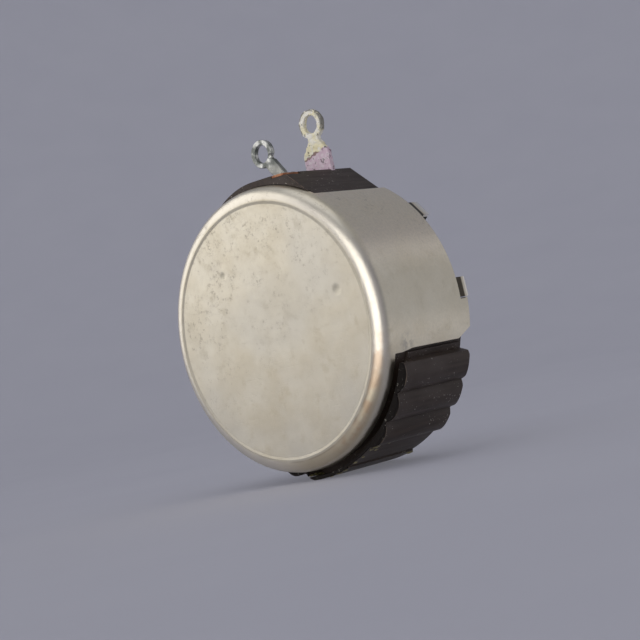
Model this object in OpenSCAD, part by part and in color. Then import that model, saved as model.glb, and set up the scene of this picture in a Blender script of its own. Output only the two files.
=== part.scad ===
// Wirewound rheostat: a moulded phenolic housing closed by a drawn metal cover.
// The origin is on the shaft axis, at the mounting face; +Y runs out along the shaft and +Z up to the terminals.
// Angles (phi) are measured about the shaft from +Z towards +X.

/* [Cover] */
// Outer diameter of the drawn cover
cover_d = 42; // [40:0.5:46]
// Distance from the mounting face to the highest point of the cover's back
body_depth = 20.6; // [20:0.1:26]
// Thickness of the cover's sheet metal
sheet_t = 0.5; // [0.3:0.05:0.6]
// Radius of the drawn shoulder between the back and the side
shoulder_r = 2.1; // [1.2:0.1:2.6]
// How far the flat back lies below the crest of the rim
face_recess = 0.06; // [0.04:0.01:0.4]
// Width of the small slope between the flat back and the rim
crease_w = 0.45; // [0.2:0.05:0.8]
// Straight length of the short skirt below the shoulder
short_skirt = 0.5; // [0.2:0.1:1.5]
// Angle at which each full-depth side panel starts
panel_start = 32; // [30:0.5:36]
// Angle at which each full-depth side panel ends
panel_end = 107.5; // [105:0.5:108]
// Distance from the mounting face to the front edge of the side panels
panel_setback = 2.6; // [2.5:0.1:3.2]
// How far the panel's foot widens below its lower edge, where it meets the shoulder
foot_w = 0.37; // [0.2:0.01:0.5]
// Length of that foot, and of its sloping end
foot_len = [3.8, 2.2];
// Angle at which the stepped corner of the panel starts
step_start = 91.8; // [91.8:0.1:98]
// Angle at which the stepped corner is clipped off
step_end = 103.5; // [102:0.5:104.5]
// Distance from the mounting face to the edge of the stepped corner
step_setback = 1.0; // [0.5:0.1:1.6]

/* [Folded ears] */
// Angles of the two ears on each side panel
ear_angles = [49.8, 87.5];
// Width of an ear
ear_w = 2.9; // [2.5:0.1:4]
// Distance from the mounting face to the outside of a folded ear
ear_setback = 0.05; // [0.05:0.05:0.4]
// Outer bend radius of an ear
ear_bend_r = 0.8; // [0.7:0.05:1.2]
// Radius of the corners of an ear
ear_corner_r = 0.9; // [0.3:0.1:1.3]
// Length of an ear on the housing's front face, from the cover's outside
ear_reach = 3.5; // [2.2:0.1:3.8]
// Width of the relief slots beside an ear
relief_w = 0.12; // [0.1:0.01:0.6]
// Depth of the relief slots
relief_d = 0.15; // [0.1:0.05:1]

/* [Housing] */
// Radial gap between the housing and the cover's inside
cover_gap = 0.1; // [0.05:0.01:0.2]
// Wall between the housing's outside and its bore
wall_t = 1.8; // [1.5:0.1:2.2]
// Thickness of the housing's front wall
front_wall = 2.2; // [2:0.1:3]
// Chamfer round the front of the housing
front_chamfer = 1.5; // [1:0.1:1.6]
// Gap between the housing's back edge and the inside of the cover
back_gap = 0.5; // [0.3:0.1:1]
// Chamfer round the back edge of the housing
back_chamfer = 1; // [0.9:0.1:1.4]
// Depth of the ledge that the resistance element stands on
ledge_h = 2.1; // [1:0.1:3]
// Width of that ledge
ledge_w = 1.7; // [1:0.1:2]
// Radius of the bare wall between the ribs, beyond the cover's radius
land_rise = 1.2; // [0.9:0.1:1.6]
// How far a rib stands above that bare wall
rib_rise = 0.95; // [0.5:0.05:1.3]
// Radius of the rounded ribs
rib_r = 3.1; // [2.6:0.1:3.6]
// Angles of the ribs
rib_angles = [117, 129.2, 142];
// Angle at which the bare wall starts
land_start = 111.5; // [110:0.5:113]
// Angles between which the bare wall carries a broad raised band
band_angles = [162, 178.5];
// How far that band stands above the bare wall
band_rise = 0.2; // [0.1:0.1:0.9]
// Radius of the band's rounded end
band_end_r = 2; // [1:0.1:3]
// Angle and radius of the small rib beyond the band
small_rib = [189.2, 2.2];
// How far the small rib's crest lies below the bare wall
small_rib_drop = 0.5; // [0.3:0.1:0.9]
// Chamfer on the ends of the ribs
rib_chamfer = 0.4; // [0.1:0.1:0.8]
// Distance from the mounting face to the front end of the ribs
rib_setback = 3.1; // [2.6:0.1:4]
// Distance from the cover's back to the back end of the ribs
rib_back = 2.5; // [2:0.1:4]
// Width of the open groove between the ribs' wall and the cover
groove_w = 0.9; // [0.3:0.1:1]
// Depth of that groove from the back end of the ribs
groove_d = 3; // [1:0.5:6]
// Angles by which the groove runs past the ribs at its two ends
groove_ends = [3, 4];

/* [Terminal block] */
// Height of the block's flat top above the cover's radius
block_rise = 0.95; // [0.5:0.05:2]
// Width of the flat top
block_top_w = 12.6; // [12:0.2:15]
// Radius of the block's rounded shoulder, on the side away from the end lug
shoulder_block_r = 14.3; // [13.8:0.1:16]
// Distance from the cover's back to the block's back face
block_back = 2.2; // [2:0.1:3.5]
// Distance from the mounting face to the block's front end
block_setback = 3.6; // [2.6:0.1:5]
// Width of the terminal shelf, inwards from the housing's bore
shelf_w = 5.8; // [5.2:0.1:6]
// Half angle of the terminal shelf, which is also the rotor's stop
shelf_angle = 27; // [26:0.5:27.5]
// Distance from the mounting face to the shelf's seat
shelf_seat = 7.2; // [7:0.1:8]

/* [Lugs] */
// Spacing of the two lugs
lug_spacing = 8; // [7.6:0.1:8.4]
// Thickness of a lug
lug_t = 0.8; // [0.6:0.1:1]
// Width of a lug at the block
lug_w = 5.0; // [4:0.1:5.2]
// Width of a lug's neck
neck_w = 2.0; // [1.4:0.1:2.6]
// Outer diameter of the soldering eye
eye_d = 4.4; // [4:0.1:5.4]
// Diameter of the hole in the eye
eye_bore = 2.8; // [2:0.1:3]
// Height of the end lug's eye above the block
eye_rise = 7.35; // [6:0.05:11]
// Height above the block at which the end lug starts to taper
taper_rise = 2.85; // [1.5:0.05:3.2]
// Height above the block at which the wiper lug leans over
lean_rise = 1.45; // [0.85:0.05:2]
// Angle by which the wiper lug leans over
lean_angle = 37; // [10:1:50]
// Distance from that bend to the eye of the wiper lug
lean_reach = 5.0; // [4:0.1:6.5]
// Distance of the terminal rivets from the housing's bore, at the top
rivet_inset = 3.4; // [3:0.1:3.6]
// Diameter of the terminal rivets
rivet_d = 1.7; // [1.2:0.1:1.9]
// Diameter of the rivets' heads
rivet_head_d = 2.8; // [2.4:0.1:3]
// Thickness of the rivets' heads
rivet_head_t = 0.5; // [0.3:0.1:0.6]
// Thickness of the fibre slip let into the corner of the block's top
fibre_t = 0.4; // [0.2:0.1:0.5]
// Size of the fibre slip across the block and along the shaft
fibre_size = [2.4, 3.4];

/* [Front plate and bushing] */
// How far the front plate stays inside the cover all round
plate_inset = 4.2; // [4:0.1:6]
// Thickness of the front plate
plate_t = 0.9; // [0.8:0.1:1.2]
// Outer diameter of the threaded bushing
bushing_d = 9.525; // [9:0.025:9.55]
// Length of the bushing in front of the mounting face
bushing_len = 9.525; // [6:0.025:12.7]
// Diameter of the bushing's plain neck behind the mounting face
neck_d = 9.1; // [8.8:0.1:9.3]
// Chamfer on the bushing's end
bushing_chamfer = 0.6; // [0.3:0.1:1]
// Diameter of the bushing's flange inside the housing
flange_d = 12.4; // [11.4:0.1:13.4]
// Thickness of that flange
flange_t = 0.8; // [0.6:0.1:1]
// How far the locating lug stands inside the plate's edge
locator_inset = 3.3; // [2.6:0.1:4.5]
// Width of the locating lug
locator_w = 3.2; // [2.4:0.1:4]
// Height of the locating lug in front of the mounting face
locator_h = 3.2; // [2:0.1:4]

/* [Shaft] */
// Diameter of the shaft
shaft_d = 6.35; // [5.9:0.05:6.4]
// Length of the shaft in front of the mounting face
shaft_len = 19.05; // [16:0.05:40]
// Radial running clearance of the shaft in the bushing
shaft_play = 0.03; // [0.02:0.01:0.06]
// Length of the flat at the shaft's end
flat_len = 4.3; // [3:0.1:4.5]
// Thickness of the shaft across the flat
flat_across = 5.56; // [5.5:0.01:5.8]
// Chamfer on the shaft's end
tip_chamfer = 0.5; // [0.2:0.1:1]
// Diameter of the shaft's collar
collar_d = 8.8; // [8.4:0.1:9.6]
// Thickness of the collar
collar_t = 0.8; // [0.6:0.05:1]
// Diameter of the groove for the retaining ring
groove_d_shaft = 5.2; // [4.8:0.1:5.6]
// Outer diameter of the retaining ring
ring_d = 8.4; // [7.6:0.1:9]
// Thickness of the retaining ring
ring_t = 0.7; // [0.5:0.05:1]
// Width of the opening in the retaining ring
ring_mouth = 3.4; // [2.6:0.1:4]
// Thickness of the thrust washer
washer_t = 0.4; // [0.3:0.05:0.5]
// Outer diameter of the thrust washer
washer_d = 10; // [9.6:0.1:11]

/* [Rotor] */
// Gap between the rotor's disc and the terminal shelf
disc_gap = 0.8; // [0.4:0.1:2]
// Thickness of the rotor's disc
disc_t = 2.95; // [2:0.05:3.5]
// Diameter of the rotor's boss
boss_d = 12.4; // [12.2:0.1:13]
// How far the stop arm overlaps the terminal shelf's end
stop_overlap = 2.2; // [1.5:0.1:2.6]
// Thickness of the stop arm
stop_t = 2.4; // [2:0.1:3]
// Half angle of the stop arm
stop_angle = 12; // [9:0.5:12.5]
// Thickness of the contact arm
arm_t = 0.4; // [0.3:0.05:0.6]
// Width of the contact arm at its hub and at its end
arm_w = [8, 3.4];
// Size of the contact shoe across the track, along it and in depth
shoe_size = [1.2, 2.6, 1.0];
// Diameter of the shoe's own pin and of its head
shoe_pin = [0.9, 1.2];
// Diameter of the two contact rivets
pin_d = 1.5; // [1.1:0.1:1.6]
// Distance from the axis to the contact rivets
pin_r = 4.7; // [4.6:0.1:4.9]
// Diameter and thickness of the heads of the contact rivets
pin_head = [2.4, 0.3];
// Thickness of the collector spring
spring_t = 0.3; // [0.2:0.05:0.3]
// Width of the collector spring's fingers
finger_w = 2.4; // [1.8:0.1:3]

/* [Resistance element] */
// Thickness of the flat former
former_t = 0.8; // [0.6:0.05:0.9]
// Distance of the winding's back edge from the cover's back
track_depth = 4; // [3.6:0.1:5]
// Half angle of the gap between the former's ends
former_gap = 28; // [27.8:0.2:29]
// Half angle of the gap between the winding's ends
winding_gap = 32; // [31:0.5:34]
// Number of turns of wire modelled on the former
turns = 110; // [60:2:140]
// Thickness of the winding on the former
wire_t = 0.35; // [0.25:0.05:0.4]
// Gap between the collector ring and the terminal shelf
collector_gap = 1.8; // [1.2:0.1:2.5]
// Gap between the collector ring and the bushing's rim
collector_inner_gap = 1.3; // [0.6:0.1:2.4]
// Thickness of the collector ring
collector_t = 0.5; // [0.3:0.1:0.6]
// Width of the collector's strap
strap_w = 3; // [2:0.1:3.4]
// Thickness of the strap and of the end clips
strap_t = 0.4; // [0.3:0.05:0.5]
// Width of the end clips round the former
clamp_w = 0.85; // [0.6:0.05:1]
// Width of the live clip's strap
clip_strap_w = 2.4; // [1.6:0.1:2.6]
// Thickness of the insulating disc in the cover
paper_t = 0.25; // [0.15:0.05:0.4]

/* [Hidden] */
$fn = 96;
eps = 0.01;
fit = 0.05;         // clearance between pieces that are fixed to each other
touch = 0.05;       // gap at the sliding contacts
cover_r = cover_d / 2;
back_z = -body_depth;
face_z = back_z + face_recess;
inner_back_z = face_z + sheet_t;
shoulder_z = back_z + shoulder_r;
short_z = shoulder_z + short_skirt;
panel_z = -panel_setback;
crease_r = cover_r - shoulder_r;
housing_r = cover_r - sheet_t - cover_gap;
bore_r = housing_r - wall_t;
front_z = -plate_t;
wall_z = front_z - front_wall;
ledge_z = wall_z - ledge_h;
housing_back_z = inner_back_z + back_gap;
land_r = cover_r + land_rise;
rib_peak_r = land_r + rib_rise;
band_r = land_r + band_rise;
block_h = cover_r + block_rise;
eye_height = block_h + eye_rise;
taper_height = block_h + taper_rise;
lean_height = block_h + lean_rise;
shelf_r = bore_r - shelf_w;
rivet_height = bore_r - rivet_inset;
plate_r = cover_r - plate_inset;
locator_r = plate_r - locator_inset;
disc_r = shelf_r - disc_gap;
stop_reach = shelf_r + stop_overlap;
collector_r = [flange_d / 2 + collector_inner_gap, shelf_r - collector_gap];
seat_z = -shelf_seat;
lug_z = seat_z - lug_t;
strap_z = lug_z - strap_t;
block_z = -block_setback;
eye_r = eye_d / 2;
shaft_r = shaft_d / 2;
bush_bore_r = shaft_r + shaft_play;
flange_z = wall_z - flange_t;
washer_z = flange_z - touch - washer_t;
collar_z = washer_z - touch - collar_t;
ring_z = bushing_len + 2 * touch;
track_z = back_z + track_depth;
winding_front_z = ledge_z - touch;
former_mid_r = bore_r - fit - wire_t - former_t / 2 - 0.15;
lug_x = lug_spacing / 2;
strap_phi = -atan(lug_x / rivet_height);
rivet_r = norm([lug_x, rivet_height]);
former_r = [former_mid_r - former_t / 2, former_mid_r + former_t / 2];
winding_r = [former_r[0] - wire_t, former_r[1] + wire_t];
former_z = [track_z + wire_t + fit, winding_front_z - wire_t - fit];
shoe_z = track_z - touch - shoe_size[2];
arm_z = shoe_z - arm_t;
boss_front_z = collar_z - 3 * touch - pin_head[1] - spring_t;
collector_z = wall_z - collector_t;
rest_phi = 180;     // the contact arm's angle at mid travel

// ---------- helpers ----------
// Local frame of every piece: z along the shaft, y up, x to the right of someone facing the shaft.
module seat() {
    rotate([90, 0, 180]) children();
}

// Turns a feature drawn at twelve o'clock to the angle phi.
module turn(phi) {
    rotate([0, 0, phi]) children();
}

// A feature and its mirror image on the other side of the terminals.
module both_sides() {
    children();
    mirror([1, 0, 0]) children();
}

module disc(r, z0, z1) {
    translate([0, 0, z0]) cylinder(r = r, h = z1 - z0);
}

module tube(r0, r1, z0, z1) {
    difference() {
        disc(r1, z0, z1);
        disc(r0, z0 - 1, z1 + 1);
    }
}

// Point at radius r and angle phi.
function at(r, phi) = [-r * sin(phi), r * cos(phi)];

// Flat wedge from phi0 to phi1, wider than any piece.
module wedge_2d(phi0, phi1, reach = 60) {
    mid = (phi0 + phi1) / 2;
    polygon([[0, 0], at(reach, phi0), at(reach, mid), at(reach, phi1)]);
}

module wedge(phi0, phi1, z0, z1) {
    translate([0, 0, z0]) linear_extrude(z1 - z0) wedge_2d(phi0, phi1);
}

// A flat outline in (tangent, z) at angle phi, pushed through the wall from outside.
module through_wall(phi, depth = 3) {
    turn(phi) translate([0, cover_r + 1, 0]) rotate([90, 0, 0]) linear_extrude(depth) children();
}

// A section drawn in (radius, z), drawn out to a straight bar of width w at angle phi.
module bar_section(phi, w) {
    turn(phi) rotate([90, 0, 90]) translate([0, 0, -w / 2]) linear_extrude(w) children();
}

module box_at(size, at_xyz) {
    translate(at_xyz - [size[0] / 2, size[1] / 2, 0]) cube(size);
}

// ---------- cover ----------
module cup_section(r, z_back, corner, z_front) {
    translate([0, z_back]) square([r - corner, corner + 1]);
    translate([r - corner, z_back + corner]) circle(corner);
    translate([0, z_back + corner]) square([r, z_front - z_back - corner]);
}

module cup(r, z_back, corner, z_front) {
    rotate_extrude() intersection() {
        cup_section(r, z_back, corner, z_front);
        translate([0, z_back]) square([r + 1, z_front - z_back]);
    }
}

module side_panel() {
    intersection() {
        tube(cover_r - sheet_t, cover_r, shoulder_z, panel_z);
        wedge(panel_start, panel_end, shoulder_z - 1, panel_z + 1);
    }
    intersection() {
        tube(cover_r - sheet_t, cover_r, shoulder_z, panel_z);
        through_wall(panel_end) panel_foot();
    }
    intersection() {
        tube(cover_r - sheet_t, cover_r, panel_z - 1, -step_setback);
        wedge(step_start, panel_end, panel_z - 1, 0);
    }
}

module panel_foot() {
    front = short_z + foot_len[0];
    polygon([[1, shoulder_z], [1, front], [0, front], [-foot_w, front - foot_len[1]], [-foot_w, shoulder_z]]);
}

module corner_clip() {
    run = cover_r * (panel_end - step_end) * PI / 180;
    drop = panel_setback - step_setback + 1;
    through_wall(step_end)
        polygon([[0, -step_setback], [-run, -step_setback - drop], [-run - 2, -step_setback - drop],
                 [-run - 2, 1], [0, 1]]);
}

// Rectangle from (x0, y0) to (x1, y1) with its far corner rounded.
module rounded_corner(x0, y0, x1, y1, r) {
    translate([x0, y0]) square([x1 - r - x0, y1 - y0]);
    translate([x0, y0]) square([x1 - x0, y1 - r - y0]);
    translate([x1 - r, y1 - r]) circle(r);
}

// Section of an ear, bent over the housing's front face.
module ear_section() {
    outer_r = cover_r * cos(asin(ear_w / 2 / cover_r));
    tip_r = cover_r - ear_reach;
    difference() {
        rounded_corner(tip_r, panel_z, outer_r, -ear_setback, ear_bend_r);
        rounded_corner(tip_r - 1, panel_z - 1, outer_r - sheet_t, -ear_setback - sheet_t,
                       ear_bend_r - sheet_t);
    }
}

module ear(phi) {
    intersection() {
        bar_section(phi, ear_w + 1) ear_section();
        through_wall(phi, ear_reach + 2) translate([0, panel_z - sheet_t]) ear_outline();
    }
}

// Outline of an ear seen from outside, with its two front corners rounded.
module ear_outline() {
    half = ear_w / 2;
    top = sheet_t + panel_setback - ear_setback + eps;
    translate([-half, 0]) square([ear_w, top - ear_corner_r]);
    translate([-half + ear_corner_r, 0]) square([ear_w - 2 * ear_corner_r, top]);
    for (x = [-half + ear_corner_r, half - ear_corner_r])
        translate([x, top - ear_corner_r]) circle(ear_corner_r);
}

module ear_reliefs(phi) {
    through_wall(phi) for (s = [-1, 1])
        translate([s * (ear_w + relief_w) / 2 - relief_w / 2, panel_z - relief_d])
            square([relief_w, relief_d + 1]);
}

module back_cover() color([0.72, 0.70, 0.64]) seat() {
    difference() {
        union() {
            cup(cover_r, back_z, shoulder_r, short_z);
            both_sides() difference() {
                side_panel();
                corner_clip();
                for (phi = ear_angles) ear_reliefs(phi);
            }
        }
        cup(cover_r - sheet_t, inner_back_z, shoulder_r - sheet_t, short_z + eps);
        translate([0, 0, back_z - 1 + eps]) cylinder(r = crease_r, h = 1);
        translate([0, 0, back_z]) cylinder(r1 = crease_r, r2 = crease_r - crease_w, h = face_recess);
    }
    both_sides() for (phi = ear_angles) ear(phi);
}

module cover_insulator() color([0.45, 0.40, 0.30]) seat()
    disc(crease_r - crease_w, inner_back_z, inner_back_z + paper_t);

// ---------- housing ----------
// A rounded rib at the angle phi: its crest at crest_r, its radius r.
module rib(phi, crest_r, r) {
    turn(phi) translate([0, crest_r - r]) circle(r);
}

module rib_outline() {
    intersection() {
        circle(land_r);
        wedge_2d(land_start, band_angles[1]);
    }
    intersection() {
        circle(band_r);
        wedge_2d(band_angles[0], band_angles[1]);
    }
    intersection() {
        for (phi = rib_angles) rib(phi, rib_peak_r, rib_r);
        wedge_2d(land_start, band_angles[0]);
    }
    rib(band_angles[1], band_r, band_end_r);
    rib(small_rib[0], land_r - small_rib_drop, small_rib[1]);
}

// The ribs' full length, with the chamfer at both ends.
module ribs() {
    rear = back_z + rib_back;
    front = -rib_setback;
    inner = rib_peak_r - rib_chamfer;
    intersection() {
        translate([0, 0, rear]) linear_extrude(front - rear) rib_outline();
        rotate_extrude() polygon([[0, rear], [inner, rear], [inner + 1, rear + 1], [inner + 1, front - 1],
                                  [inner, front], [0, front]]);
    }
}

module block_outline() {
    foot = at(housing_r + cover_gap + sheet_t - 0.1, panel_start);
    polygon([[0, block_h], [-block_top_w / 2, block_h], foot, [0, bore_r]]);
    intersection() {
        translate([0, block_h - shoulder_block_r]) circle(shoulder_block_r);
        polygon([[-1, 0], [-foot[0], foot[1] - 1], [-2 * foot[0], foot[1] - 1],
                 [-2 * foot[0], block_h + 1], [-1, block_h + 1]]);
    }
}

module housing_body() {
    rotate_extrude() polygon([[0, housing_back_z], [housing_r - back_chamfer, housing_back_z],
                              [housing_r, housing_back_z + back_chamfer],
                              [housing_r, front_z - front_chamfer],
                              [housing_r - front_chamfer, front_z], [0, front_z]]);
    strip_r = cover_r - 2 * cover_gap;
    strip_start = panel_end + asin((foot_w + 2 * cover_gap) / cover_r);
    intersection() {
        disc(strip_r, short_z + groove_d, -rib_setback);
        wedge(strip_start, 360 - strip_start, back_z, 0);
    }
    ribs();
    translate([0, 0, back_z + block_back])
        linear_extrude(body_depth - block_back - block_setback) block_outline();
}

module rivet_places() {
    for (x = [-lug_x, lug_x]) translate([x, rivet_height, 0]) children();
}

module housing_cavity() {
    disc(bore_r, housing_back_z - 1, ledge_z);
    disc(bore_r - ledge_w, ledge_z - eps, wall_z);
}

module terminal_shelf() {
    intersection() {
        tube(shelf_r, bore_r + eps, seat_z, wall_z + eps);
        wedge(-shelf_angle, shelf_angle, seat_z, wall_z + eps);
    }
}

module lug_slot(x) {
    slot_w = lug_w + 2 * fit;
    translate([x - slot_w / 2, shelf_r, lug_z - fit]) cube([slot_w, block_h, lug_t + fit]);
}

// Shallow recess in the corner of the block's top.
module fibre_recess() {
    translate([-block_top_w / 2 - 1, block_h - fibre_t, back_z + block_back - 1])
        cube([fibre_size[0] + 1, fibre_t + 1, fibre_size[1] + 1]);
}

module housing() color([0.20, 0.17, 0.16]) seat() difference() {
    union() {
        difference() {
            housing_body();
            housing_cavity();
        }
        terminal_shelf();
    }
    // room for the cover's short skirt, wider beside the ribs
    tube(housing_r, cover_r + cover_gap, back_z - 1, short_z + 2 * cover_gap);
    intersection() {
        tube(housing_r, cover_r + groove_w, back_z - 1, back_z + rib_back + groove_d);
        wedge(land_start - groove_ends[0], band_angles[1] + groove_ends[1], back_z - 1, 0);
    }
    disc(neck_d / 2 + 2 * fit, wall_z - 1, 1);
    for (x = [-lug_x, lug_x]) lug_slot(x);
    fibre_recess();
    rivet_places() {
        disc(rivet_d / 2 + fit, seat_z - 1, 1);
        disc(rivet_head_d / 2 + fit, front_z - rivet_head_t - fit, 1);
    }
}

// ---------- front plate and bushing ----------
module front_plate() color([0.70, 0.69, 0.66]) seat() {
    window_h = locator_h + plate_t;
    difference() {
        disc(plate_r, -plate_t, 0);
        disc(neck_d / 2 + fit, -plate_t - 1, 1);
        // the window that the locating lug was cut and bent from
        box_at([window_h, locator_w + 0.3, plate_t + 2],
               [locator_r - window_h / 2 - eps, 0, -plate_t - 1]);
    }
    translate([locator_r, 0, -plate_t]) rotate([90, 0, 90])
        linear_extrude(plate_t) locator_outline();
}

module locator_outline() {
    tip = 0.4;
    half = locator_w / 2;
    top = locator_h + plate_t;
    polygon([[-half, 0], [half, 0], [half, top - tip], [half - tip, top], [tip - half, top], [-half, top - tip]]);
}

module bushing() color([0.74, 0.68, 0.50]) seat() {
    major_r = bushing_d / 2;
    rotate_extrude() polygon([
        [bush_bore_r, flange_z], [flange_d / 2, flange_z], [flange_d / 2, wall_z],
        [neck_d / 2, wall_z], [neck_d / 2, 0], [major_r, 0],
        [major_r, bushing_len - bushing_chamfer], [major_r - bushing_chamfer, bushing_len],
        [bush_bore_r, bushing_len]]);
}

// ---------- terminals ----------
module eye_hole() {
    circle(eye_bore / 2);
}

module lug_shank(top) {
    half = lug_w / 2;
    polygon([[-half, shelf_r + 0.3], [half, shelf_r + 0.3], [half, top], [-half, top]]);
}

module rivet_hole() {
    translate([0, rivet_height]) circle(rivet_d / 2 + fit);
}

module lug_end_outline() {
    half = lug_w / 2;
    neck = neck_w / 2;
    difference() {
        union() {
            lug_shank(taper_height);
            polygon([[-half, taper_height], [half, taper_height],
                     [neck, eye_height - eye_r - 0.3], [neck, eye_height - eye_r * 0.6],
                     [-neck, eye_height - eye_r * 0.6], [-neck, eye_height - eye_r - 0.3]]);
            translate([0, eye_height]) circle(eye_r);
        }
        translate([0, eye_height]) eye_hole();
        rivet_hole();
    }
}

module lug_end() color([0.82, 0.80, 0.74]) seat()
    translate([-lug_x, 0, lug_z]) linear_extrude(lug_t) lug_end_outline();

module lug_wiper_outline() {
    neck = neck_w / 2;
    difference() {
        union() {
            lug_shank(lean_height);
            translate([0, lean_height]) rotate(-lean_angle) {
                circle(neck);
                translate([-neck, 0]) square([neck_w, lean_reach - eye_r * 0.6]);
                translate([0, lean_reach]) circle(eye_r);
            }
        }
        translate([0, lean_height]) rotate(-lean_angle) translate([0, lean_reach]) eye_hole();
        rivet_hole();
    }
}

module lug_wiper() color([0.80, 0.80, 0.78]) seat()
    translate([lug_x, 0, lug_z]) linear_extrude(lug_t) lug_wiper_outline();

module terminal_insulator() color([0.62, 0.34, 0.16]) seat()
    translate([-block_top_w / 2, block_h - fibre_t, back_z + block_back])
        cube([fibre_size[0] - fit, fibre_t, fibre_size[1] - fit]);

module terminal_rivets() color([0.66, 0.58, 0.40]) seat() rivet_places() {
    back = strap_z - rivet_head_t;
    front = front_z - fit;
    disc(rivet_d / 2, back, front);
    disc(rivet_head_d / 2, back, strap_z);
    disc(rivet_head_d / 2, front - rivet_head_t + fit, front);
}

// ---------- resistance element ----------
module resistance_former() color([0.50, 0.36, 0.20]) seat() intersection() {
    tube(former_r[0], former_r[1], former_z[0], former_z[1]);
    wedge_about_bottom(former_gap);
}

// Everything except a wedge of the given half angle at the top.
module wedge_about_bottom(half_gap) {
    translate([0, 0, back_z]) linear_extrude(body_depth) union() {
        wedge_2d(half_gap, 120);
        wedge_2d(100, 260);
        wedge_2d(240, 360 - half_gap);
    }
}

module winding_outline() {
    step = (360 - 2 * winding_gap) / turns;
    groove = wire_t * 0.5;
    outer = [for (i = [0:2 * turns])
        at(winding_r[1] - (i % 2 == 0 ? groove : 0), winding_gap + i * step / 2)];
    inner = [for (i = [2 * turns:-1:0])
        at(winding_r[0] + (i % 2 == 0 ? groove : 0), winding_gap + i * step / 2)];
    polygon(concat(outer, inner));
}

module resistance_winding() color([0.45, 0.42, 0.38]) seat() difference() {
    translate([0, 0, track_z]) linear_extrude(winding_front_z - track_z) winding_outline();
    tube(former_r[0] - 0.02, former_r[1] + 0.02, former_z[0] - 0.02, former_z[1] + 0.02);
}

// A clamp folded round the former's bare tail at the angle phi.
module end_clamp(phi) {
    half = asin(clamp_w / 2 / former_mid_r);
    rear = former_z[0] - fit;
    intersection() {
        difference() {
            tube(former_r[0] - fit - strap_t, former_r[1] + fit + strap_t, rear - strap_t, strap_z + strap_t);
            tube(former_r[0] - fit, former_r[1] + fit, rear, 0);
        }
        wedge(phi - half, phi + half, back_z, 0);
    }
}

module end_clip_live() color([0.76, 0.62, 0.34]) seat() {
    tail_phi = (former_gap + winding_gap) / 2;
    tail = at(former_r[0] - fit - strap_t / 2, tail_phi);
    rivet = [-lug_x, rivet_height];
    end_clamp(tail_phi);
    // strap from the clamp to the rivet of the end lug
    translate([0, 0, strap_z]) linear_extrude(strap_t) difference() {
        intersection() {
            union() {
                translate(rivet) circle(rivet_head_d / 2 + 4 * fit);
                polygon([rivet - [0, clip_strap_w / 2], rivet + [0, clip_strap_w / 2],
                         tail + [0, clamp_w / 2], tail - [0, clamp_w]]);
            }
            circle(former_r[0] - fit);
        }
        translate(rivet) circle(rivet_d / 2 + fit);
        circle(shelf_r + 6 * fit);
    }
}

module end_clip_open() color([0.76, 0.62, 0.34]) seat()
    end_clamp(-(former_gap + winding_gap) / 2);

module collector_ring() color([0.78, 0.62, 0.32]) seat() {
    strap_r = shelf_r - 3 * fit;
    tube(collector_r[0], collector_r[1], collector_z, wall_z);
    turn(strap_phi) difference() {
        union() {
            translate([-strap_w / 2, collector_r[1] - collector_t, collector_z])
                cube([strap_w, strap_r - collector_r[1] + collector_t, collector_t]);
            translate([-strap_w / 2, strap_r - strap_t, strap_z])
                cube([strap_w, strap_t, wall_z - strap_z]);
            translate([-strap_w / 2, strap_r - strap_t, strap_z])
                cube([strap_w, rivet_r + rivet_head_d / 2 - strap_r + strap_t, strap_t]);
        }
        translate([0, rivet_r, 0]) disc(rivet_d / 2 + fit, back_z, collector_z - 1);
    }
}

// ---------- shaft and rotor ----------
module shaft() color([0.70, 0.70, 0.68]) seat() difference() {
    rear = arm_z - arm_t;
    groove_end = ring_z + ring_t + touch;
    rotate_extrude() polygon([
        [0, rear], [shaft_r, rear], [shaft_r, collar_z], [collar_d / 2, collar_z],
        [collar_d / 2, collar_z + collar_t], [shaft_r, collar_z + collar_t],
        [shaft_r, ring_z], [groove_d_shaft / 2, ring_z],
        [groove_d_shaft / 2, groove_end], [shaft_r, groove_end],
        [shaft_r, shaft_len - tip_chamfer], [shaft_r - tip_chamfer, shaft_len], [0, shaft_len]]);
    translate([-shaft_d, flat_across - shaft_r, shaft_len - flat_len])
        cube([2 * shaft_d, shaft_d, flat_len + shaft_d]);
}

module shaft_retaining_ring() color([0.55, 0.55, 0.55]) seat() difference() {
    tube(groove_d_shaft / 2 + 0.02, ring_d / 2, ring_z + touch / 2, ring_z + touch / 2 + ring_t);
    translate([-ring_mouth / 2, -ring_d, ring_z - 1]) cube([ring_mouth, ring_d, ring_t + 2]);
}

module thrust_washer() color([0.45, 0.33, 0.20]) seat()
    tube(shaft_r + fit, washer_d / 2, washer_z, washer_z + washer_t);

module pin_places() {
    for (s = [-1, 1]) translate([s * pin_r, 0, 0]) children();
}

module rotor_hub() color([0.28, 0.22, 0.19]) seat() difference() {
    union() {
        disc(disc_r, shoe_z, shoe_z + disc_t);
        disc(boss_d / 2, shoe_z, boss_front_z);
        intersection() {
            disc(stop_reach, boss_front_z - stop_t, boss_front_z);
            wedge(rest_phi - stop_angle, rest_phi + stop_angle, boss_front_z - stop_t, boss_front_z);
        }
    }
    disc(shaft_r + 0.025, back_z, 1);
    pin_places() disc(pin_d / 2 + fit, back_z, 1);
    // relief so that the contact shoe's end of the arm can flex
    turn(rest_phi) translate([-shoe_size[1], boss_d / 2 + arm_t, shoe_z - arm_t])
        cube([2 * shoe_size[1], disc_r, 2 * arm_t]);
}

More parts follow.
